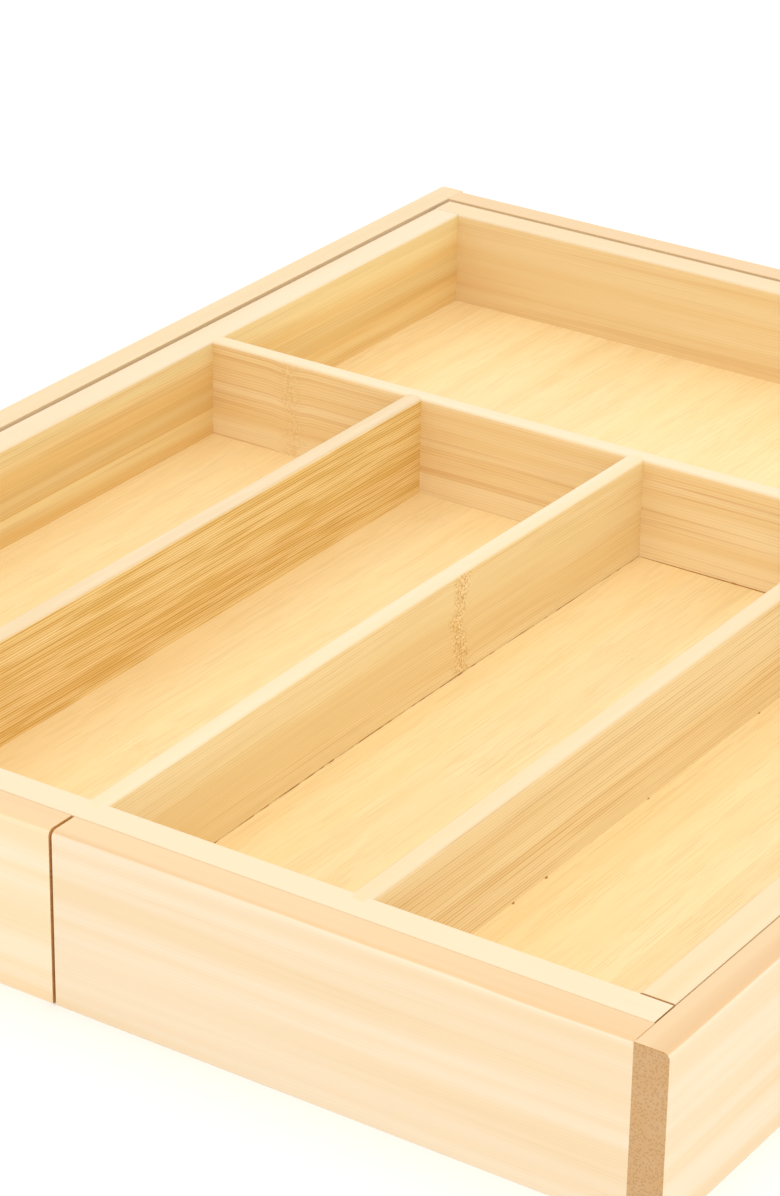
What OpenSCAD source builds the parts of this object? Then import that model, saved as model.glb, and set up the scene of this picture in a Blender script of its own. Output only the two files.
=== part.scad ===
// Expandable drawer organizer insert, in bamboo board.
// A centre tray with four long slots and one cross slot stands inside two mirror-image wings.
// Each wing is a U of three walls on a thin floor. It slides out sideways along guide strips
// on the tray's front and back walls, and opens a further compartment beside the tray.
// Origin: under the middle of the centre tray, on the surface that the wings stand on.
// +X is to the right along the front, +Y is to the back, +Z is up. Millimetres.

/* [Compartments] */
// Width of each of the four long slots
slot_w = 74; // [70:1:90]
// Length of the long slots, from the front wall to the cross partition
slot_l = 262; // [200:1:300]
// Depth of the cross slot, from the partition to the back wall
cross_slot_d = 138; // [80:1:180]

/* [Boards] */
// Overall height, which leaves the compartments 32 mm deep at 50
overall_h = 50; // [46:0.5:60]
// Thickness of the tray's walls and of the wings' walls
wall_t = 9.5; // [9:0.5:12]
// Thickness of the dividers and of the cross partition
divider_t = 6; // [5:0.5:8]
// Thickness of the floor panels
panel_t = 4; // [3:0.5:4.5]
// Radius that the dividers' and the compartments' top edges are eased to
top_ease = 1; // [0.4:0.1:1.5]
// Radius of the wings' outer top edge
wing_ease = 1.8; // [0.8:0.1:3]
// Radius of the top edges on both sides of the gap between the tray and the wings
gap_ease = 0.3; // [0.2:0.1:1]

/* [Wings] */
// How far each wing pulls out from the middle
travel = 110; // [60:1:115]
// How far to the left of the middle the left wing ends at the seam
left_ajar = 1.4; // [0.7:0.1:3]
// How far to the right of the middle the right wing ends: below zero it stands past the middle
right_ajar = -0.4; // [-0.4:0.1:1]
// Gap between the tray's side and a wing's side wall when the wing ends just at the middle
side_gap = 0.7; // [0.5:0.1:2]
// Gap between the tray's front wall and the wings' front walls
front_gap = 0.15; // [0.15:0.05:1]
// Gap between the tray's back wall and the wings' back walls
back_gap = 2; // [0.3:0.1:2]

/* [Guides] */
// Length of each guide strip
guide_l = 40; // [25:1:45]
// Height of each guide strip
guide_h = 5.4; // [4:0.1:6]
// How far a guide strip stands out of the tray's wall
guide_out = 4.5; // [3.5:0.1:4.5]
// Running clearance above, below and at the end of a guide strip
guide_clear = 0.3; // [0.3:0.05:0.6]

/* [Hidden] */
$fn = 48;

// Compartments and the tray's inside
inner_w = 4 * slot_w + 3 * divider_t;
inner_d = slot_l + divider_t + cross_slot_d;
x_in = inner_w / 2;
y_in = inner_d / 2;
x_out = x_in + wall_t;
y_out = y_in + wall_t;
partition_y = -y_in + slot_l;

// Heights: the wings' floors slide under the tray, whose own floor sits a lip above its walls' feet
wing_floor_z = 6;
floor_lip = 3.5;
tray_z = wing_floor_z + panel_t + 0.5;
floor_z = tray_z + floor_lip;
floor_top = floor_z + panel_t;

// Housings: how deep one board is let into another
panel_let = 4;
divider_let = 3;
partition_let = 1.5;
guide_let = 3;

// The wing's own frame: its front and back walls start at x = 0, at the seam
wing_x_in = x_out + side_gap;
wing_y_front = -(y_out + front_gap);
wing_y_back = y_out + back_gap;

// The groove that a guide strip runs in
guide_z = (floor_top + overall_h) / 2;
groove_h = guide_h + 2 * guide_clear;
groove_d = guide_out + guide_clear;
guide_x1 = x_out - 4;
guide_x0 = guide_x1 - guide_l;
groove_x0 = guide_x0 - guide_clear - travel;

// Corner dowels
dowel_r = 2.5;
dowel_l = 20;
dowel_blind = 6;
dowel_zs = [floor_top + 6, overall_h - 8];

wall_colour = "#f0cf94";
divider_colour = "#ecc684";
floor_colour = "#fad798";
wing_colour = "#f6dcae";
dowel_colour = "#d9b377";
guide_colour = "#c99a58";

// ---- Boards -------------------------------------------------------------------------------

// Cross-section of a board standing on edge, w wide and h high, with its two top edges eased.
module board_section(w, h, r_low, r_high) {
  difference() {
    square([w, h]);
    translate([0, h - r_low]) difference() {
      translate([-1, 0]) square([1 + r_low, 1 + r_low]);
      translate([r_low, 0]) circle(r_low);
    }
    translate([w - r_high, h - r_high]) difference() {
      square([1 + r_high, 1 + r_high]);
      circle(r_high);
    }
  }
}

// A board that runs along X. y is its front face, and r_front and r_back ease its top edges.
module board_x(x0, x1, y, w, z0, r_front = top_ease, r_back = top_ease) {
  translate([x0, y, z0]) rotate([90, 0, 90])
    linear_extrude(x1 - x0) board_section(w, overall_h - z0, r_front, r_back);
}

// A board that runs along Y. x is its left face, and r_left and r_right ease its top edges.
module board_y(y0, y1, x, w, z0, r_left = top_ease, r_right = top_ease) {
  translate([x, y1, z0]) rotate([90, 0, 0])
    linear_extrude(y1 - y0) board_section(w, overall_h - z0, r_left, r_right);
}

// A plain block from its lowest to its highest corner.
module block(a, b) {
  translate(a) cube(b - a);
}

// The floor panel's whole outline, which is also the groove that the walls hold it in.
module floor_block() {
  block([-x_in - panel_let, -y_in - panel_let, floor_z], [x_in + panel_let, y_in + panel_let, floor_top]);
}

module wing_floor_block() {
  block(
    [0, wing_y_front - panel_let, wing_floor_z],
    [wing_x_in + panel_let, wing_y_back + panel_let, wing_floor_z + panel_t]
  );
}

// ---- Centre tray --------------------------------------------------------------------------

// Left face of divider i, counted from the left.
function divider_x(i) = -x_in + slot_w + i * (slot_w + divider_t);

// Divider i, from its housing in the front wall to the one in the partition. The boards that it
// is let into are cut with it, so each housing fits its eased top too.
module divider(i) {
  color(divider_colour)
    board_y(-y_in - divider_let, partition_y + partition_let, divider_x(i), divider_t, floor_top);
}

// The partition before the dividers are let into it, and so also its housing in the side walls.
module partition_board() {
  board_x(-x_in - divider_let, x_in + divider_let, partition_y, divider_t, floor_top);
}

// Two dowels in each corner of the tray, from the end walls into the ends of the side walls.
module tray_dowels() {
  for (sx = [-1, 1], sy = [-1, 1], z = dowel_zs)
    translate([sx * (x_in + wall_t / 2), sy * (y_in + dowel_blind), z]) rotate([sy * 90, 0, 0])
      cylinder(r = dowel_r, h = dowel_l);
}

// A guide strip, let into the tray's wall. sx and sy say which corner it is at.
module guide_strip(sx, sy) {
  color(guide_colour)
    mirror([sx < 0 ? 1 : 0, 0, 0]) mirror([0, sy < 0 ? 1 : 0, 0])
      block(
        [guide_x0, y_out - guide_let, guide_z - guide_h / 2],
        [guide_x1, y_out + guide_out, guide_z + guide_h / 2]
      );
}

module tray_front_wall() {
  color(wall_colour) difference() {
    board_x(-x_out, x_out, -y_out, wall_t, tray_z, r_front = gap_ease);
    floor_block();
    for (i = [0:2]) divider(i);
    for (sx = [-1, 1]) guide_strip(sx, -1);
    tray_dowels();
  }
}

module tray_back_wall() {
  color(wall_colour) difference() {
    board_x(-x_out, x_out, y_in, wall_t, tray_z, r_back = gap_ease);
    floor_block();
    for (sx = [-1, 1]) guide_strip(sx, 1);
    tray_dowels();
  }
}

module tray_side_wall(x, r_left, r_right) {
  color(wall_colour) difference() {
    board_y(-y_in, y_in, x, wall_t, tray_z, r_left, r_right);
    floor_block();
    partition_board();
    tray_dowels();
  }
}

module tray_left_wall() { tray_side_wall(-x_out, gap_ease, top_ease); }
module tray_right_wall() { tray_side_wall(x_in, top_ease, gap_ease); }

module tray_floor() {
  color(floor_colour) floor_block();
}

module cross_partition() {
  color(divider_colour) difference() {
    partition_board();
    for (i = [0:2]) divider(i);
  }
}

module left_divider() { divider(0); }
module middle_divider() { divider(1); }
module right_divider() { divider(2); }

module tray_corner_dowels() {
  color(dowel_colour) tray_dowels();
}

module front_left_guide() { guide_strip(-1, -1); }
module front_right_guide() { guide_strip(1, -1); }
module back_left_guide() { guide_strip(-1, 1); }
module back_right_guide() { guide_strip(1, 1); }

// ---- Wings --------------------------------------------------------------------------------

// Puts a right-hand wing's piece where it stands: side is 1 for the right wing, -1 for the left.
module wing(side) {
  translate([side > 0 ? right_ajar : -left_ajar, 0, 0])
    mirror([side < 0 ? 1 : 0, 0, 0]) children();
}

// Two dowels at each end of the side wall, into the ends of the front and back walls.
module wing_dowels() {
  for (y = [wing_y_front - wall_t / 2, wing_y_back + wall_t / 2], z = dowel_zs)
    translate([wing_x_in + dowel_blind, y, z]) rotate([0, -90, 0])
      cylinder(r = dowel_r, h = dowel_l);
}

// The stopped grooves that the guide strips run in: closed at the seam end, where they stop
// the wing at full travel.
module guide_grooves() {
  block(
    [groove_x0, wing_y_front - groove_d, guide_z - groove_h / 2],
    [wing_x_in, wing_y_back + groove_d, guide_z + groove_h / 2]
  );
}

module wing_side_wall() {
  color(wing_colour) difference() {
    board_y(
      wing_y_front - wall_t, wing_y_back + wall_t, wing_x_in, wall_t, 0,
      r_left = gap_ease, r_right = wing_ease
    );
    wing_floor_block();
    wing_dowels();
  }
}

module wing_front_wall() {
  color(wing_colour) difference() {
    board_x(0, wing_x_in, wing_y_front - wall_t, wall_t, 0, r_front = wing_ease, r_back = gap_ease);
    wing_floor_block();
    guide_grooves();
    wing_dowels();
  }
}

module wing_back_wall() {
  color(wing_colour) difference() {
    board_x(0, wing_x_in, wing_y_back, wall_t, 0, r_front = gap_ease, r_back = wing_ease);
    wing_floor_block();
    guide_grooves();
    wing_dowels();
  }
}

module wing_floor() {
  color(floor_colour) wing_floor_block();
}

module wing_corner_dowels() {
  color(dowel_colour) wing_dowels();
}

module left_wing_side_wall() { wing(-1) wing_side_wall(); }
module left_wing_front_wall() { wing(-1) wing_front_wall(); }
module left_wing_back_wall() { wing(-1) wing_back_wall(); }
module left_wing_floor() { wing(-1) wing_floor(); }
module left_wing_dowels() { wing(-1) wing_corner_dowels(); }
module right_wing_side_wall() { wing(1) wing_side_wall(); }
module right_wing_front_wall() { wing(1) wing_front_wall(); }
module right_wing_back_wall() { wing(1) wing_back_wall(); }
module right_wing_floor() { wing(1) wing_floor(); }
module right_wing_dowels() { wing(1) wing_corner_dowels(); }

// ---- What is drawn ------------------------------------------------------------------------

tray_front_wall();
tray_back_wall();
tray_left_wall();
tray_right_wall();
tray_floor();
cross_partition();
left_divider();
middle_divider();
right_divider();
tray_corner_dowels();
front_left_guide();
front_right_guide();
back_left_guide();
back_right_guide();
left_wing_side_wall();
left_wing_front_wall();
left_wing_back_wall();
left_wing_floor();
left_wing_dowels();
right_wing_side_wall();
right_wing_front_wall();
right_wing_back_wall();
right_wing_floor();
right_wing_dowels();
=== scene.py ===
# %% [markdown]
# # An expandable bamboo drawer organizer
#
# The real object is a shallow tray of bamboo board: four long slots and one cross slot. Two wings
# wrap round it and slide out to the sides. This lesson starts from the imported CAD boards, eases
# their edges, gives each one its own cut of bamboo, and adds the small things that a glued wooden
# tray shows: a board that bows a little, a hairline of shadow under a divider, beads of dry glue.

# %% Load the frame
import math
from functools import partial
from types import SimpleNamespace

import bpy
import numpy as np
from mathutils import Matrix, Vector


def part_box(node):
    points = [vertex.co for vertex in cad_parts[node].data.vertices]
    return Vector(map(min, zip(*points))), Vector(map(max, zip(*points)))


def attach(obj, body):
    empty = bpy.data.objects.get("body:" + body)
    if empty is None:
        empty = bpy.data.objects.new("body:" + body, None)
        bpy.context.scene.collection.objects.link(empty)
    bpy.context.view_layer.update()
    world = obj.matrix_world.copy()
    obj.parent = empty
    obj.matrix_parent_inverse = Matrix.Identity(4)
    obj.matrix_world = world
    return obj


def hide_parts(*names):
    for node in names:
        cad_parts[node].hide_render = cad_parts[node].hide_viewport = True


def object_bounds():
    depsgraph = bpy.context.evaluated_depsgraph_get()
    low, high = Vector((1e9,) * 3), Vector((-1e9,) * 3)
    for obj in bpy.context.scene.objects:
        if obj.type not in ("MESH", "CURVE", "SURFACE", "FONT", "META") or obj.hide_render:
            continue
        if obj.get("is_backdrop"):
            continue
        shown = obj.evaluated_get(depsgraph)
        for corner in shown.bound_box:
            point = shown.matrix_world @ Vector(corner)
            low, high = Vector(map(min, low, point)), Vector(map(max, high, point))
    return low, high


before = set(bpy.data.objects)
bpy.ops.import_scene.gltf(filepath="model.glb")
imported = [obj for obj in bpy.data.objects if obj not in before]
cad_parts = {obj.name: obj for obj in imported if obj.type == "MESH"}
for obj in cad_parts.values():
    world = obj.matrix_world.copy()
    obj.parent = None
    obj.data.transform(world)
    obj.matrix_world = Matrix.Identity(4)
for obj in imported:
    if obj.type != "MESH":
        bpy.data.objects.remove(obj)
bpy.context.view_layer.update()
MM = 0.001

# %% [markdown]
# ## The camera
#
# A long lens from some way off keeps the walls of the slots nearly parallel. The camera stands at
# the front right, above the tray, looks down along the slots towards the back left corner, and
# leans a hair to one side, as a hand-held camera does. It is placed from the front left corner
# inside the tray, so it follows the frame's own sizes.

# %% Camera
camera_offset = Vector((696.1, -683.8, 479.3)) * MM
camera_heading = math.radians(33.52)
camera_tilt = math.radians(90 - 25.90)
camera_lean = math.radians(0.90)
camera_lens = 118.9

front_wall_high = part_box("tray_front_wall")[1]
left_wall_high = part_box("tray_left_wall")[1]
tray_top = front_wall_high.z
inner_corner = Vector((left_wall_high.x, front_wall_high.y, tray_top))

lens = bpy.data.cameras.new("camera")
lens.lens = camera_lens
lens.sensor_width = 36
camera = bpy.data.objects.new("camera", lens)
bpy.context.scene.collection.objects.link(camera)
camera.matrix_world = (
    Matrix.Translation(inner_corner + camera_offset)
    @ Matrix.Rotation(camera_heading, 4, "Z")
    @ Matrix.Rotation(camera_tilt, 4, "X")
    @ Matrix.Rotation(camera_lean, 4, "Z")
)
bpy.context.scene.camera = camera
print("camera stands", round(camera_offset.length, 3), "m from the tray's corner")

# %% [markdown]
# ## Light
#
# Pale bamboo looks its best in very even light: a bright white surround, and one large soft box
# overhead and a little to the front right, which keeps the insides of the slots warm and open.
# The Standard view transform keeps the pale wood pale, where a filmic one would grey it.

# %% Light
surround_strength = 1.12
softbox_power = 9.0
softbox_size = 1.8
softbox_place = Vector((0.9, -0.7, 1.7))


def linear(hex_colour):
    """An sRGB hex colour as the linear RGBA that Blender's sockets take."""
    parts = np.array([int(hex_colour[i:i + 2], 16) for i in (1, 3, 5)]) / 255
    light = np.where(parts <= 0.04045, parts / 12.92, ((parts + 0.055) / 1.055) ** 2.4)
    return (*light.tolist(), 1.0)


scene = bpy.context.scene
scene.view_settings.view_transform = "Standard"

world = bpy.data.worlds.new("white_surround")
world.use_nodes = True
world.node_tree.nodes["Background"].inputs["Color"].default_value = linear("#ffffff")
world.node_tree.nodes["Background"].inputs["Strength"].default_value = surround_strength
scene.world = world

softbox = bpy.data.lights.new("softbox", "AREA")
softbox.shape = "SQUARE"
softbox.size = softbox_size
softbox.energy = softbox_power
softbox_object = bpy.data.objects.new("softbox", softbox)
softbox_object.location = softbox_place
softbox_object.rotation_euler = (-softbox_place).to_track_quat("-Z", "Y").to_euler()
scene.collection.objects.link(softbox_object)
print("soft box", softbox_size, "m square,", softbox_power, "W")

# %% [markdown]
# ## One helper for shader nodes
#
# Every material below is a small network. This helper adds one node, sets its own properties by
# name, and fills its inputs: a number or colour is set on the socket, and another node's output
# is linked to it. It returns one output of the new node, ready to be the next one's input.

# %% Node helper


def add_node(tree, kind, inputs=(), out=0, **settings):
    """Adds a node of that kind, named without ShaderNode, and returns its output out.

    inputs are values or other nodes' outputs, in the order of the sockets or by socket name.
    settings are the node's own properties.
    """
    made = tree.nodes.new(f"ShaderNode{kind}")
    for name, value in settings.items():
        setattr(made, name, value)
    given = inputs.items() if isinstance(inputs, dict) else enumerate(inputs)
    for socket, value in given:
        if isinstance(value, bpy.types.NodeSocket):
            tree.links.new(value, made.inputs[socket])
        else:
            made.inputs[socket].default_value = value
    return made.outputs[out] if made.outputs else None


def new_material(name):
    """An empty node material, and the helper above bound to its tree."""
    material = bpy.data.materials.new(name)
    material.use_nodes = True
    material.node_tree.nodes.clear()
    return material, partial(add_node, material.node_tree)


# %% [markdown]
# ## The floor
#
# The object stands on plain matt white card, which is only a stage and not part of it. Matt card
# scatters light evenly, so it takes soft shadows and shows no reflections. It lies a twentieth of
# a millimetre below the wings' feet, so that no two faces share a plane.

# %% White card
floor_size = 12.0
card_drop = 0.05 * MM

half = floor_size / 2
card_mesh = bpy.data.meshes.new("white_card")
card_corners = [(-half, -half, 0), (half, -half, 0), (half, half, 0), (-half, half, 0)]
card_mesh.from_pydata(card_corners, [], [(0, 1, 2, 3)])
card = bpy.data.objects.new("white_card", card_mesh)
card.location.z = -card_drop
scene.collection.objects.link(card)
card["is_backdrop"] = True

card_material, node = new_material("matt_white_card")
card_look = {"Base Color": linear("#f7f6f4"), "Roughness": 0.9, "Specular IOR Level": 0.2}
node("OutputMaterial", {"Surface": node("BsdfPrincipled", card_look)})
card_mesh.materials.append(card_material)
print("floor:", card_material.name, floor_size, "m square")

# %% [markdown]
# ## Bamboo, and what a cut of it can vary in
#
# Bamboo board is made of strips split from the cane's wall, planed, and pressed together with
# glue. The strip's face shows long parallel fibres: fine dark bundles with pale flesh between
# them, in clusters, and broad soft bands where the plane ran nearer to the cane's golden outside.
# Every 25 cm or so the cane had a knuckle, where the fibres swerve and knot into a band of pale
# and dark specks. Sanding and a thin satin lacquer give it a soft sheen. The top edges of the
# tray's boards are painted paler: partly the sanded flesh, partly painted highlight where they
# face the light.
#
# One recipe serves every board, and the numbers below are what differs from cut to cut. Lengths
# are in millimetres, and depths run from 0, which leaves a mark out, to 1. The fibre bundles of
# real bamboo are 0.2 to 0.5 mm wide. They are drawn about 0.3 mm wide and 0.8 to 1 mm apart, as
# fine as a picture of the whole tray can still show. Map Range nodes turn noise into marks, and
# the soft setting makes them ease in and out, so that no mark has a hard edge.

# %% What a cut can vary in
usual_cut = dict(
    strip=400.0,            # width of a strip: wider than any board, so a board is one strip
    strip_start=0.0,        # where one strip begins
    strip_spread=0.04,      # how far the strips' tones differ
    wave=0.8,               # how far the fibres wander sideways
    band=0.5,               # depth of the broad bands
    band_width=9.0,         # width of the broad bands
    streak=0.25,            # depth of the narrower streaks
    fibre=0.4,              # depth of the dark bundles
    glint=0.3,              # depth of the pale flesh between them
    run=45.0,               # length of a bundle
    pitch=1.0,              # space from one bundle to the next
    cluster=0.6,            # how far the bundles keep to groups
    knuckle=0.0,            # depth of the knuckles
    knuckle_at=0.0,         # place of one knuckle along the grain
    knuckle_shift=0.0,      # how far a knuckle may differ from strip to strip
    specks=1.0,             # depth of the specks in a knuckle
    edge=0.0,               # depth of the top colour, on the tray's boards a painted highlight
    edge_band=0.3,          # how far the broad bands still show on the top colour
    edge_tone="#e6cfa8",    # colour of the top, on the tray's boards a painted highlight
    end_tone="#bd8b4c",     # colour of the end grain
)
soft = dict(interpolation_type="SMOOTHSTEP")
print("a cut of bamboo varies in", len(usual_cut), "ways, besides its axes and tones")

# %% [markdown]
# ## Strips and knuckles
#
# The strip that a point lies in is its place across the board, divided by the strip's width and
# rounded down. White noise turns that whole number into three random ones, which shift the
# pattern along the grain, move the knuckle, and change the tone, so no two strips match.
#
# The distance to the nearest knuckle is a zigzag along the grain, which the Ping-Pong function
# gives. A little slow noise across the grain makes the knuckle lean, as a ring round a cane does
# where the saw met it at a slant. Each board's seed moves it to its own part of every noise.

# %% Strips and knuckles
knuckle_gap = 260.0
knuckle_lean = 9.0
lean_width = 14.0
lean_seed_step = 1.7


def strip_randoms(node, v, cut):
    """Three random numbers for the strip that a point is in: white noise of its number, which is
    (place across - start) / width, rounded down."""
    strip_number = node("Math", (v, cut.strip_start), operation="SUBTRACT")
    strip_number = node("Math", (strip_number, cut.strip), operation="DIVIDE")
    strip_number = node("Math", [strip_number], operation="FLOOR")
    strip_number = node("Math", (strip_number, cut.seed + 0.5), operation="ADD")
    random_colour = node("TexWhiteNoise", {"W": strip_number}, out="Color", noise_dimensions="1D")
    return node("SeparateColor", [random_colour]).node.outputs


def knuckle_distance(node, u, v, strip_random, cut):
    """How far a point is from the nearest knuckle: the Ping-Pong, at half the gap, of (place along
    - knuckle_at + the lean + the strip's own shift)."""
    lean_place = node("Math", (v, 1 / lean_width), operation="MULTIPLY")
    lean_place = node("CombineXYZ", (cut.seed * lean_seed_step, lean_place))
    lean = node("TexNoise", {"Vector": lean_place, "Scale": 1.0, "Detail": 1.0})
    distance = node("Math", (u, cut.knuckle_at + knuckle_lean / 2), operation="SUBTRACT")
    distance = node("Math", (lean, knuckle_lean, distance), operation="MULTIPLY_ADD")
    distance = node("Math", (strip_random, cut.knuckle_shift, distance), operation="MULTIPLY_ADD")
    return node("Math", (distance, knuckle_gap / 2), operation="PINGPONG")


print("a knuckle every", knuckle_gap, "mm")

# %% [markdown]
# ## The grain
#
# Fibres run the length of the cane, so every mark on the flesh is noise that is far longer along
# the grain than across it. All of it is looked up at one grain place: the point's place along the
# strip's own stretch of cane, its place across with a slow wander and a swerve at each knuckle,
# and its depth in the board.
#
# The bundles are parallel lines, one pitch apart. Within its pitch, the distance to the line says
# how dark a point is, and each line is broken into dashes by its own stretch of noise. A pair of
# edges below gives where a mask begins and where it is full.

# %% Grain
cane_length = 900.0
cane_seed_step = 37.0
wander_length, wander_width = 110.0, 25.0
swerve_edges = (9.0, 1.0)
swerve_depth = 0.7
wobble_length, wobble_width, wobble_depth = 300.0, 1.6, 0.8
dash_step_across, dash_step_through = 3.7, 0.4
group_runs, group_width, group_edges = 2.5, 6.0, (0.4, 0.6)
dark_line_edges, dark_dash_edges = (0.24, 0.06), (0.42, 0.6)
pale_line_edges, pale_dash_edges = (0.3, 0.44), (0.6, 0.42)


def grain_place(node, u, v, w, distance, strip_random, cut):
    """A point's place in the cane: along it, across it with the wander and swerve, and through."""
    u = node("Math", (strip_random, cane_length, u), operation="MULTIPLY_ADD")
    u = node("Math", (u, cut.seed * cane_seed_step), operation="ADD")
    wander = node("CombineXYZ", (u, v))
    wander_scale = (1 / wander_length, 1 / wander_width, 0.0)
    wander = node("VectorMath", (wander, wander_scale), operation="MULTIPLY")
    wander = node("TexNoise", {"Vector": wander, "Scale": 1.0, "Detail": 1.0})
    v = node("Math", (wander, cut.wave * 2, v), operation="MULTIPLY_ADD")
    swerve = node("MapRange", (distance, *swerve_edges), **soft)
    v = node("Math", (swerve, swerve_depth * cut.knuckle, v), operation="MULTIPLY_ADD")
    return node("CombineXYZ", (u, v, w))


def grain_noise(node, place, length, width, detail=1.0, rough=0.5):
    """Noise at a grain place, whose features are length long and width wide and thick."""
    scale = (1 / length, 1 / width, 1 / width)
    place = node("VectorMath", (place, scale), operation="MULTIPLY")
    look = {"Vector": place, "Scale": 1.0, "Detail": detail, "Roughness": rough}
    return node("TexNoise", look)


def fibre_bundles(node, place, cut):
    """Two masks: the dark bundles, and the pale flesh between them.

    With x = (place across + a wobble) / pitch, a line is where the fraction of x is a half, and
    the whole part of x picks the noise that breaks the line into dashes.
    """
    along, across, through = node("SeparateXYZ", [place]).node.outputs
    wobble = grain_noise(node, place, wobble_length, wobble_width)
    line = node("Math", (wobble, wobble_depth, across), operation="MULTIPLY_ADD")
    line = node("Math", (line, cut.pitch), operation="DIVIDE")
    from_line = node("Math", [line], operation="FRACT")
    from_line = node("Math", (from_line, 0.5), operation="SUBTRACT")
    from_line = node("Math", [from_line], operation="ABSOLUTE")
    line_number = node("Math", [line], operation="FLOOR")
    dash_place = node("CombineXYZ", (along, line_number, through))
    dash_scale = (1 / cut.run, dash_step_across, dash_step_through)
    dash_place = node("VectorMath", (dash_place, dash_scale), operation="MULTIPLY")
    dashes = node("TexNoise", {"Vector": dash_place, "Scale": 1.0, "Detail": 1.0})
    group = grain_noise(node, place, cut.run * group_runs, group_width)
    group = node("MapRange", (group, *group_edges, 1.0 - cut.cluster, 1.0), **soft)
    dark_edges = (dark_line_edges, dark_dash_edges)
    pale_edges = (pale_line_edges, pale_dash_edges)
    masks = []
    for line_edges, dash_edges in (dark_edges, pale_edges):
        line_mask = node("MapRange", (from_line, *line_edges), **soft)
        dash_mask = node("MapRange", (dashes, *dash_edges), **soft)
        mask = node("Math", (line_mask, dash_mask), operation="MULTIPLY")
        masks.append(node("Math", (mask, group), operation="MULTIPLY"))
    return masks


print("each strip is cut from its own part of", cane_length, "mm of cane")

# %% [markdown]
# ## Specks, top colour and end grain
#
# Three marks are left. A knuckle is filled with specks about 0.7 mm across, some pale and some
# dark, which are the cells of a Voronoi pattern. A board's top takes its own colour, down to a
# fraction of a millimetre below the edge, at a height that wobbles: on the tray's boards it is
# painted highlight over the paler sanded flesh, on the wings the tan of the sawn edge. The ends of
# the fibres drink lacquer and go brown, with a darker dot for each cut bundle, so wherever the
# surface faces along the grain it takes that colour. The dots use the same cells as the specks.

# %% Specks, top colour and end grain
speck_size, speck_edges = 0.7, (0.62, 0.3)
dark_below, pale_above = 0.5, 0.6
top_fade = 0.5
top_wobble, top_wobble_size = 0.6, 30.0
facing_edges = (0.75, 0.95)
bundle_dot_edges = (0.5, 0.25)


def knuckle_specks(node, cells, knuckle_band, cut):
    """Two masks: the dark specks and the pale ones. A cell's random red says which it is."""
    speck = node("MapRange", (cells["Distance"], *speck_edges, 0.0, cut.specks), **soft)
    speck = node("Math", (speck, knuckle_band), operation="MULTIPLY")
    lot = node("SeparateColor", [cells["Color"]])
    is_dark = node("Math", (lot, dark_below), operation="LESS_THAN")
    is_pale = node("Math", (lot, pale_above), operation="GREATER_THAN")
    return [node("Math", (speck, kind), operation="MULTIPLY") for kind in (is_dark, is_pale)]


# The top colour is painted highlight on the tray's boards, over their paler sanded flesh.
def top_colour_and_highlight(node, place, height, cut):
    """A mask for the top colour, which on the tray's boards is painted highlight over the paler
    sanded
    flesh: full at the tray's top, and fading out over the top_fade below. The noise adds up to
    top_wobble to the height, so the top colour reaches a little deeper here and there."""
    wobble = grain_noise(node, place, top_wobble_size, top_wobble_size)
    height = node("Math", (wobble, top_wobble, height), operation="MULTIPLY_ADD")
    top_height = tray_top / MM
    top_edges = (top_height - top_fade, top_height)
    return node("MapRange", (height, *top_edges, 0.0, cut.edge), **soft)


def end_grain(node, cells, cut):
    """Two masks: where the surface faces along the grain, and the dots of cut bundles there."""
    facing = node("SeparateXYZ", [node("TexCoord", out="Normal")]).node.outputs[cut.along]
    facing = node("Math", [facing], operation="ABSOLUTE")
    ends = node("MapRange", (facing, *facing_edges), **soft)
    dots = node("MapRange", (cells["Distance"], *bundle_dot_edges), **soft)
    return ends, node("Math", (dots, ends), operation="MULTIPLY")


# The sanded top that this prints is, on the tray's boards, painted highlight too.
print("specks of", speck_size, "mm, sanded top that fades over", top_fade, "mm")

# %% [markdown]
# ## The bamboo material
#
# Now the marks are laid over the flesh one by one, each a colour through a mask: the broad bands,
# the pale and dark fibres, the knuckle and its specks, the top colour with its painted highlight,
# the end grain. The same masks sink the fibres and specks a few hundredths of a millimetre below
# the lacquer. Lacquer has an IOR of about 1.5, and brushed on thinly it dries satin, never quite
# even, so its gloss lies along the grain in soft patches.

# %% Colours and lengths of the marks
pale_flesh = linear("#fff0cf")
pale_speck_tone = linear("#fff2d6")
dark_speck_tone = linear("#b88648")
bundle_dot_tone = linear("#8f6229")
band_length, band_edges = 420.0, (0.36, 0.64)
streak_length, streak_width, streak_edges = 150.0, 2.2, (0.5, 0.72)
ragged_length, ragged_width, ragged_depth = 5.0, 3.0, 8.0
knuckle_edges = (9.2, 5.0)
sheen_length, sheen_width, sheen_edges = 40.0, 4.0, (0.3, 0.7)
sheen_low, sheen_high = 0.37, 0.49
relief_depth = 0.05 * MM


def painted(node, under, mask, depth, colour):
    """colour laid over under where mask is 1, at that depth."""
    amount = node("Math", (mask, depth), operation="MULTIPLY")
    return node("Mix", {0: amount, 6: under, 7: colour}, out=2, data_type="RGBA")


print("lacquered bamboo: roughness", sheen_low, "to", sheen_high)

# %% Bamboo


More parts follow.
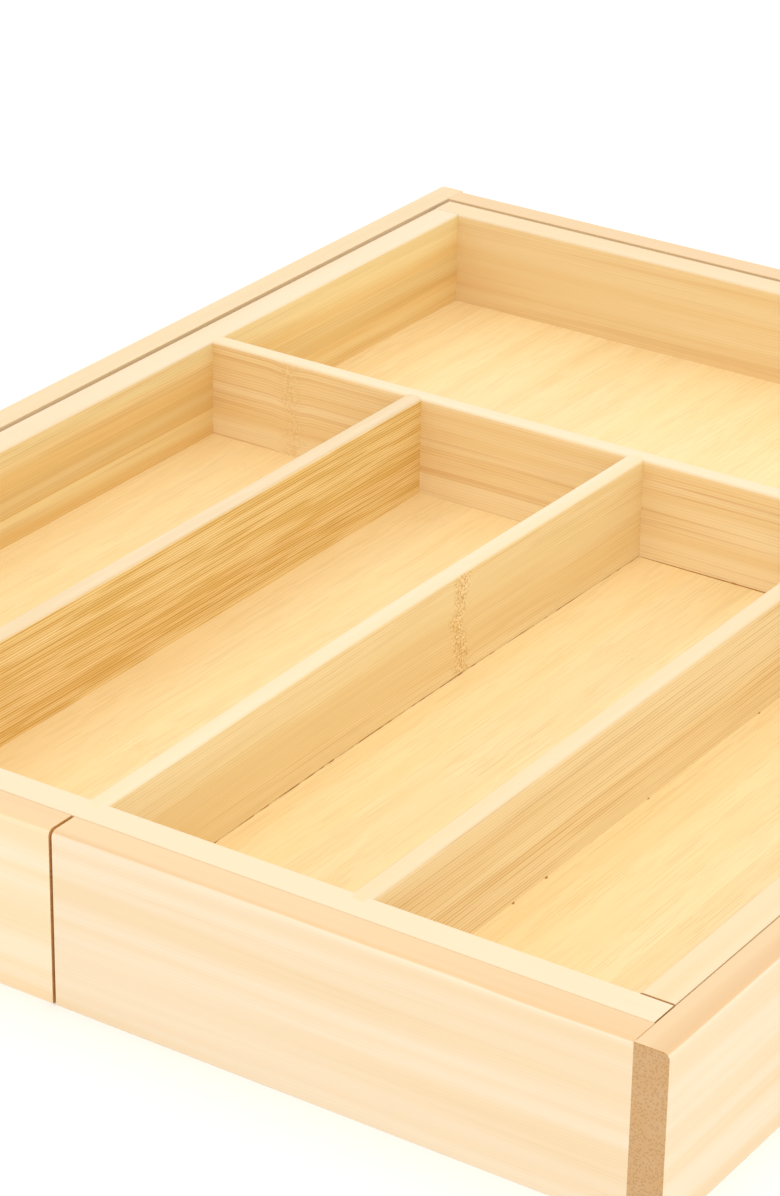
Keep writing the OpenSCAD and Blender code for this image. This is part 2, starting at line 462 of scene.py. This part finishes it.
def bamboo(name, **cut):
    """Sanded, satin-lacquered bamboo, as usual_cut with the given differences.

    along and across are the grain's axis and the axis that the strips lie side by side on. tone is
    the flesh, band_tone the broad bands and fibre_tone the dark bundles.
    """
    cut = SimpleNamespace(**{**usual_cut, **cut})
    material, node = new_material(name)
    place = node("TexCoord", out="Object")
    place = node("VectorMath", {0: place, "Scale": 1 / MM}, operation="SCALE")
    axes = node("SeparateXYZ", [place]).node.outputs
    through = ({"X", "Y", "Z"} - {cut.along, cut.across}).pop()
    u, v, w = axes[cut.along], axes[cut.across], axes[through]

    cane_random, knuckle_random, tone_random = strip_randoms(node, v, cut)
    distance = knuckle_distance(node, u, v, knuckle_random, cut)
    grain = grain_place(node, u, v, w, distance, cane_random, cut)
    noise = partial(grain_noise, node, grain)
    ragged = noise(ragged_length, ragged_width, detail=2.0)
    ragged = node("Math", (ragged, ragged_depth, distance), operation="MULTIPLY_ADD")
    knuckle_band = node("MapRange", (ragged, *knuckle_edges, 0.0, cut.knuckle), **soft)

    broad = node("MapRange", (noise(band_length, cut.band_width), *band_edges), **soft)
    streaks = noise(streak_length, streak_width, detail=2.0, rough=0.6)
    streaks = node("MapRange", (streaks, *streak_edges, 0.0, cut.streak), **soft)
    dark_bundles, pale_between = fibre_bundles(node, grain, cut)
    dark = node("Math", (dark_bundles, cut.fibre, streaks), operation="MULTIPLY_ADD")
    cells = node("TexVoronoi", {"Vector": place, "Scale": 1 / speck_size}).node.outputs
    dark_specks, pale_specks = knuckle_specks(node, cells, knuckle_band, cut)
    # The top colour: on the tray's boards a painted highlight over the paler sanded flesh, on the
    # wings the tan of the sawn edge.
    top = top_colour_and_highlight(node, grain, axes["Z"], cut)
    ends, bundle_dots = end_grain(node, cells, cut)

    band_tone = linear(cut.band_tone)
    wood = painted(node, linear(cut.tone), broad, cut.band, band_tone)
    spread = (1.0 - cut.strip_spread, 1.0 + cut.strip_spread / 2)
    strip_tone = node("MapRange", (tone_random, 0.0, 1.0, *spread), **soft)
    wood = node("VectorMath", {0: wood, "Scale": strip_tone}, operation="SCALE")
    # top_tone is the painted highlight colour on the tray's tops.
    top_tone = painted(node, linear(cut.edge_tone), broad, cut.edge_band, band_tone)
    layers = (
        (pale_between, cut.glint, pale_flesh),
        (dark, 1.0, linear(cut.fibre_tone)),
        (knuckle_band, 0.35, band_tone),
        (dark_specks, 0.65, dark_speck_tone),
        (pale_specks, 0.8, pale_speck_tone),
        (top, 1.0, top_tone),
        (ends, 0.8, linear(cut.end_tone)),
        (bundle_dots, 0.35, bundle_dot_tone),
    )
    for mask, depth, colour in layers:
        wood = painted(node, wood, mask, depth, colour)

    height = node("Math", (dark_specks, -1.5), operation="MULTIPLY")
    height = node("Math", (dark, -1.0, height), operation="MULTIPLY_ADD")
    relief = node("Bump", {"Strength": 0.35, "Distance": relief_depth, "Height": height})
    sheen = noise(sheen_length, sheen_width)
    sheen = node("MapRange", (sheen, *sheen_edges, sheen_low, sheen_high), **soft)
    look = {"Base Color": wood, "Roughness": sheen, "IOR": 1.5, "Normal": relief}
    node("OutputMaterial", {"Surface": node("BsdfPrincipled", look)})
    return material


print("bamboo is ready to cut")

# %% [markdown]
# ## The cutting list: tray and floors
#
# Each board is its own cut. The floors are flat-pressed, with strips about 20 mm wide that run
# front to back. Dividers and the partition are one strip each, set on edge: the left one was
# planed close to the cane's golden outside, and the middle one and the partition have a knuckle.
# The tray's side walls are stacks of narrower strips.

# %% Cutting list of the tray
# edge and edge_tone paint the tops of the tray's boards paler: painted highlight over the sanded
# flesh.
wall_cut = dict(
    tone="#f1d6a2", band_tone="#e6bc78", fibre_tone="#cf9a52", fibre=0.2, glint=0.2, edge=0.88)
side_cut = dict(wall_cut, along="Y", across="Z", strip=9.0, strip_start=18.0)
end_cut = dict(wall_cut, along="X", across="Z")
divider_cut = dict(along="Y", across="Z", edge=0.88)
floor_cut = dict(
    along="Y", across="X", tone="#f7dca4", band_tone="#f3d294", fibre_tone="#b88d45",
    strip=20.0, strip_start=-157.0, strip_spread=0.03, fibre=0.28, glint=0.25, run=16.0,
    streak=0.05, cluster=0.6, pitch=0.8, knuckle=0.3, knuckle_shift=260.0, specks=0.5)

board_cuts = {
    "tray_floor": dict(floor_cut, seed=3),
    "tray_left_wall": dict(
        side_cut, seed=11, tone="#ecd69d", band_tone="#e1b970", fibre=0.3, band=0.8,
        edge_tone="#e9d5b4", edge_band=0.15),
    "tray_right_wall": dict(side_cut, seed=12),
    "tray_front_wall": dict(end_cut, seed=13, edge_tone="#ebd8b8", edge_band=0.1),
    "tray_back_wall": dict(
        end_cut, seed=14, tone="#ecd19e", fibre=0.15, edge_tone="#e7d1ab", edge_band=0.2),
    "cross_partition": dict(
        along="X", across="Z", seed=15, tone="#f4dfb3", band_tone="#e8c483", fibre_tone="#cf9650",
        fibre=0.28, glint=0.35, streak=0.32, band=0.7, knuckle=0.85, knuckle_at=-126.0,
        specks=0.35, edge=0.88, edge_tone="#ead8b6"),
    "left_divider": dict(
        divider_cut, seed=16, tone="#e6c273", band_tone="#dda747", fibre_tone="#b27029",
        fibre=0.65, glint=0.8, run=34.0, streak=0.08, band=0.4, band_width=16.0, cluster=0.1,
        pitch=0.8, edge_tone="#e3caa3"),
    "middle_divider": dict(
        divider_cut, seed=17, tone="#f2dca8", band_tone="#e8c47e", fibre_tone="#cb9149",
        fibre=0.2, glint=0.45, run=35.0, streak=0.1, knuckle=1.0, knuckle_at=-38.5,
        edge_tone="#ead8b6"),
    "right_divider": dict(
        divider_cut, seed=18, tone="#f1dcab", band_tone="#e6c27c", fibre_tone="#bd8038",
        fibre=0.5, glint=0.55, run=60.0, streak=0.1, cluster=0.4),
}
print("tray:", len(board_cuts), "boards on the list")

# %% [markdown]
# ## The cutting list: wings, guides and dowels
#
# The wings are the palest boards, with a tan top where the sawn edge was left. The ends of their
# front and back walls, which show in the seam, are a more golden brown. The guide strips are
# darker bamboo, waxed to run. The dowels are plain beech, a finely flecked wood, which the same
# recipe gives in beech's pinker tones.

# %% Cutting list of the wings
wing_cut = dict(
    tone="#f1dcbd", band_tone="#ecd0a4", fibre_tone="#dfb679", fibre=0.12, glint=0.1, run=70.0,
    streak=0.12, band=0.8, band_width=7.0, wave=1.2, edge=0.9, edge_band=0.5)
wing_end_cut = dict(wing_cut, along="X", across="Z", end_tone="#d99c45")
guide_cut = dict(along="X", across="Z", tone="#dfb473", band_tone="#cf9f58", fibre_tone="#a87637")
beech_cut = dict(along="Y", across="Z", tone="#dfb988", band_tone="#d3aa76", fibre_tone="#b98c58")
tan_top = "#dbb27e"

for side, side_top, seed in (("left", "#e4c899", 30), ("right", tan_top, 40)):
    board_cuts |= {
        f"{side}_wing_side_wall": dict(
            wing_cut, along="Y", across="Z", seed=seed, edge_tone=side_top),
        f"{side}_wing_front_wall": dict(wing_end_cut, seed=seed + 1, edge_tone="#e0b985"),
        f"{side}_wing_back_wall": dict(wing_end_cut, seed=seed + 2, edge_tone=tan_top),
        f"{side}_wing_floor": dict(floor_cut, seed=seed + 3),
        f"front_{side}_guide": dict(guide_cut, seed=50),
        f"back_{side}_guide": dict(guide_cut, seed=50),
        f"{side}_wing_dowels": dict(beech_cut, seed=60),
    }
board_cuts["tray_corner_dowels"] = dict(beech_cut, seed=60)

for name, cut in board_cuts.items():
    board_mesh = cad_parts[name].data
    wood_name = "plain_beech" if "dowels" in name else "lacquered_bamboo"
    board_mesh.materials.clear()
    board_mesh.materials.append(bamboo(f"{wood_name}_{name}", **cut))
print("cut", len(board_cuts), "boards")

# %% [markdown]
# ## Eased edges
#
# A sanded board has no knife edge: every arris is rounded a few tenths of a millimetre and
# catches the light. The CAD boards come as loose triangles, so a Weld modifier joins them before
# a Bevel modifier rounds the edges that are sharp.

# %% Eased edges
ease = 0.25 * MM
weld_reach = 0.005 * MM
sharp_angle = math.radians(40)

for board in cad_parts.values():
    weld = board.modifiers.new("weld", "WELD")
    weld.merge_threshold = weld_reach
    bevel = board.modifiers.new("ease", "BEVEL")
    bevel.width = ease
    bevel.segments = 2
    bevel.limit_method = "ANGLE"
    bevel.angle_limit = sharp_angle
print("eased", len(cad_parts), "boards by", ease / MM, "mm")

# %% [markdown]
# ## A profile carried along a path
#
# The last pieces are all long and thin, so one helper makes them: it takes the rings that a
# profile leaves as it moves along its path, joins each ring to the next, and caps the ends. Another
# gives numbers that change gently at random, for cracks and beads that nobody drew with a ruler.

# %% Path and profile helpers
crease_angle = math.radians(35)


def smooth_random(count, knots, seed):
    """count values between 0 and 1 that change gently: random values at evenly spaced knots,
    joined by half cosines."""
    values = np.random.default_rng(seed).random(knots + 1)
    place = np.linspace(0, knots, count)
    start = np.minimum(place.astype(int), knots - 1)
    mix = (1 - np.cos(np.pi * (place - start))) / 2
    return values[start] * (1 - mix) + values[start + 1] * mix


def swept_mesh(name, rings):
    """A closed mesh from rings, an array of rows x points x 3: each ring is joined to the next
    by quads, and the first and last are capped. Rings run anticlockwise seen from the far end."""
    rows, points = rings.shape[:2]
    row, point = np.meshgrid(np.arange(rows - 1), np.arange(points), indexing="ij")
    here = row * points + point
    beside = row * points + (point + 1) % points
    quads = np.stack([here, beside, beside + points, here + points], axis=-1).reshape(-1, 4)
    first_cap = np.arange(points)[::-1].tolist()
    last_cap = ((rows - 1) * points + np.arange(points)).tolist()
    mesh = bpy.data.meshes.new(name)
    mesh.from_pydata(rings.reshape(-1, 3).tolist(), [], quads.tolist() + [first_cap, last_cap])
    mesh.validate()
    mesh.shade_smooth()
    mesh.set_sharp_from_angle(angle=crease_angle)
    made = bpy.data.objects.new(name, mesh)
    scene.collection.objects.link(made)
    return made


print("helpers ready: smooth_random, swept_mesh")

# %% [markdown]
# ## The bowed divider
#
# Thin bamboo strip rarely stays straight. The middle divider bows to the left by a millimetre and
# a half at mid-length, and its foot doesn't quite meet the floor: it stands on its two ends, and
# leaves an uneven crack of shadow between. The CAD divider is straight, so this board replaces it.
#
# Its profile is the divider's section, with an arc at each corner. Its path runs from one housing
# to the other, and the sideways shift is half a sine, drawn in a little at the ends by a power.
# The crack lifts the foot of the profile by a random share of its depth, less towards the ends.

# %% The section
bow = 1.5 * MM
foot_crack = 0.11 * MM
top_ease = 1.0 * MM
foot_ease = 0.3 * MM
divider_rows = 120
arc_points = 7
low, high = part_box("middle_divider")


def corner(x, z, radius, start_angle):
    """An arc of arc_points points that turns anticlockwise by a quarter round (x, z)."""
    angle = math.radians(start_angle) + np.linspace(0, np.pi / 2, arc_points)
    return np.stack([x + radius * np.cos(angle), z + radius * np.sin(angle)], axis=-1)


section = np.concatenate([
    corner(high.x - foot_ease, low.z + foot_ease, foot_ease, -90),
    corner(high.x - top_ease, high.z - top_ease, top_ease, 0),
    corner(low.x + top_ease, high.z - top_ease, top_ease, 90),
    corner(low.x + foot_ease, low.z + foot_ease, foot_ease, 180),
])
is_foot = section[:, 1] < low.z + 2 * foot_ease
print("section of", len(section), "points")

# %% Bowed divider
divider_start, divider_end, divider_right = low.y, high.y, high.x


def bow_shift(y):
    """How far the bowed divider stands to the right of a straight one: minus bow times half a sine
    to the power 1.3."""
    along_board = (y - divider_start) / (divider_end - divider_start)
    return -bow * np.sin(np.pi * np.clip(along_board, 0, 1)) ** 1.3


divider_y = np.linspace(divider_end, divider_start, divider_rows)
off_the_ends = np.sin(np.pi * np.linspace(0, 1, divider_rows)) ** 0.5
crack = foot_crack * smooth_random(divider_rows, 40, seed=5) * off_the_ends
rings = np.empty((divider_rows, len(section), 3))
rings[:, :, 0] = section[None, :, 0] + bow_shift(divider_y)[:, None]
rings[:, :, 1] = divider_y[:, None]
rings[:, :, 2] = section[None, :, 1] + crack[:, None] * is_foot[None, :]

bowed_divider = swept_mesh("bowed_middle_divider", rings)
bowed_divider.data.materials.append(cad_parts["middle_divider"].data.materials[0])
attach(bowed_divider, "centre_tray")
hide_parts("middle_divider")
print("bowed divider:", len(bowed_divider.data.polygons), "faces, bows", bow / MM, "mm")

# %% [markdown]
# ## Dry glue
#
# The dividers are glued to the floor, and the squeeze-out dries as an uneven amber bead in the
# corner. It is PVA or urea glue that took up sanding dust: brown, slightly glossy, and only a few
# tenths of a millimetre thick, mottled every millimetre or so where more dust stuck. Each bead is
# a thin tube whose radius wanders, half buried in the corner, so it seems to come and go. The
# drops are the same tube, short and round.

# %% Glue
bead_sides = 8
mottles_per_metre = 900.0
glue_material, node = new_material("dry_wood_glue")
glue_place = node("TexCoord", out="Object")
glue_noise = {"Vector": glue_place, "Scale": mottles_per_metre, "Detail": 2.0}
glue_tones = {0: node("TexNoise", glue_noise), 6: linear("#96601f"), 7: linear("#c98f42")}
glue_colour = node("Mix", glue_tones, out=2, data_type="RGBA")
glue_look = {"Base Color": glue_colour, "Roughness": 0.35, "IOR": 1.47}
node("OutputMaterial", {"Surface": node("BsdfPrincipled", glue_look)})


def glue_bead(name, path, radius, share, least=0.04):
    """A thin tube along path, an array of points. Its radius is radius times 1.5 share - 0.4, kept
    between least and 1, and it falls to nearly nothing at both ends as half a sine."""
    taper = np.sin(np.pi * np.linspace(0.02, 0.98, len(path))) ** 0.5
    heading = path[-1] - path[0]
    heading = heading / np.linalg.norm(heading)
    side = np.cross(heading, (0, 0, 1))
    angle = np.linspace(0, 2 * np.pi, bead_sides, endpoint=False)
    round_it = np.cos(angle)[:, None] * side + np.sin(angle)[:, None] * np.array((0, 0, 1))
    ring_radius = radius * np.clip(share * 1.5 - 0.4, least, 1) * taper
    bead = swept_mesh(name, path[:, None, :] + ring_radius[:, None, None] * round_it[None])
    bead.data.materials.append(glue_material)
    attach(bead, "centre_tray")


print("glue:", glue_material.name)

# %% Beads along the middle divider and the partition
middle_rows, middle_swells = 400, 110
partition_rows, partition_swells = 150, 36
floor_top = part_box("tray_floor")[1].z
partition_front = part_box("cross_partition")[0].y
right_divider_low, right_divider_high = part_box("right_divider")
front_y = front_wall_high.y

bead_y = np.linspace(partition_front, front_y, middle_rows)
bead_x = divider_right + bow_shift(bead_y)
bead_path = np.stack([bead_x, bead_y, np.full_like(bead_y, floor_top)], axis=-1)
bead_share = smooth_random(middle_rows, middle_swells, seed=7)
glue_bead("glue_middle_divider", bead_path, 0.17 * MM, bead_share)

bead_x = np.linspace(right_divider_low.x, divider_right, partition_rows)
bead_y = np.full_like(bead_x, partition_front)
bead_path = np.stack([bead_x, bead_y, np.full_like(bead_x, floor_top)], axis=-1)
bead_share = smooth_random(partition_rows, partition_swells, seed=8)
glue_bead("glue_partition", bead_path, 0.4 * MM, bead_share, least=0.65)
print("2 beads of glue")

# %% Drops at the right divider's foot
drop_rows = 9
drop_half = 0.6
drops = ((64.0, 0.35), (80.0, 0.4), (132.0, 0.25), (193.0, 0.25))

for number, (from_front, drop_radius) in enumerate(drops, start=1):
    drop_y = front_y + (from_front + np.linspace(drop_half, -drop_half, drop_rows)) * MM
    drop_x = np.full(drop_rows, right_divider_high.x)
    drop_path = np.stack([drop_x, drop_y, np.full(drop_rows, floor_top)], axis=-1)
    glue_bead(f"glue_drop_{number}", drop_path, drop_radius * MM, np.ones(drop_rows))
print(len(drops), "drops of glue")

# %% [markdown]
# ## Sizes and finish
#
# Looks must not change the object's size, so the last line prints the size of the finished
# model's box.

# %% Sizes and finish
low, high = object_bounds()
print("visual model", [round(v / MM, 1) for v in (high - low)], "mm")
